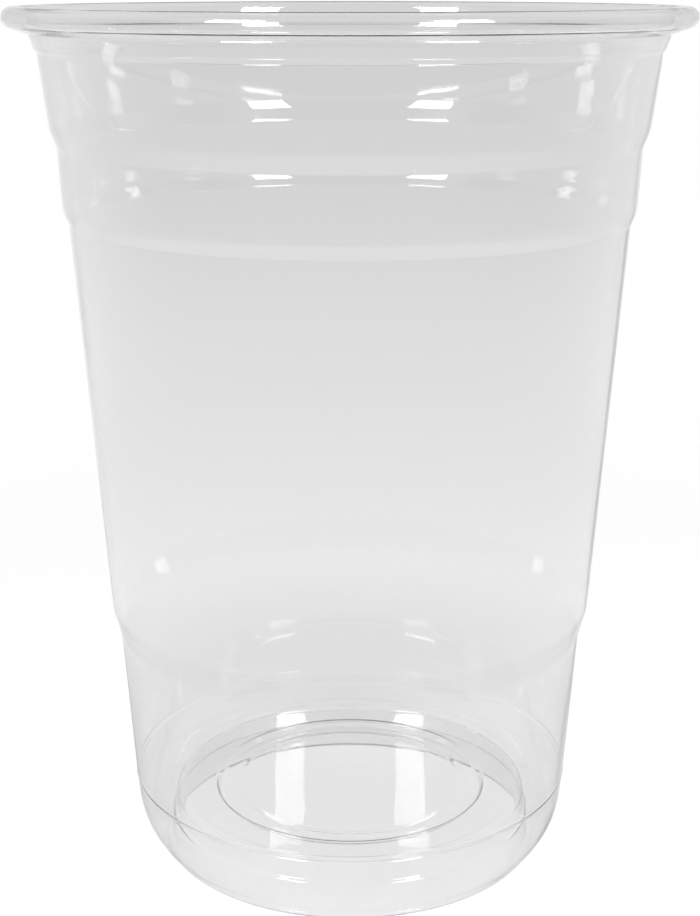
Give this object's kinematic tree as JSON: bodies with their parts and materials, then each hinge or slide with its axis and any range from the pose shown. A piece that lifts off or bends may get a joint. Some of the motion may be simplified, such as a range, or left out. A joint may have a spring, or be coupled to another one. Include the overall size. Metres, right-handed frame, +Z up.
{
  "type": "clear plastic drinking cup",
  "caption": "Clear thin-walled disposable drinking cup with a rolled lip, stacking bands below it, a tapered body and a raised floor inside a foot ring.",
  "frame": {"origin": "centre of the foot ring on the surface that the cup stands on", "axes": "+Z up along the cup's axis, from the foot to the open mouth; X and Y are free because the cup is round"},
  "size_m": [0.095, 0.095, 0.125],
  "materials": {
    "clear_plastic": "clear glossy thermoformed sheet"
  },
  "bodies": {
    "root": {"cup": "clear_plastic"}
  },
  "joints": []
}
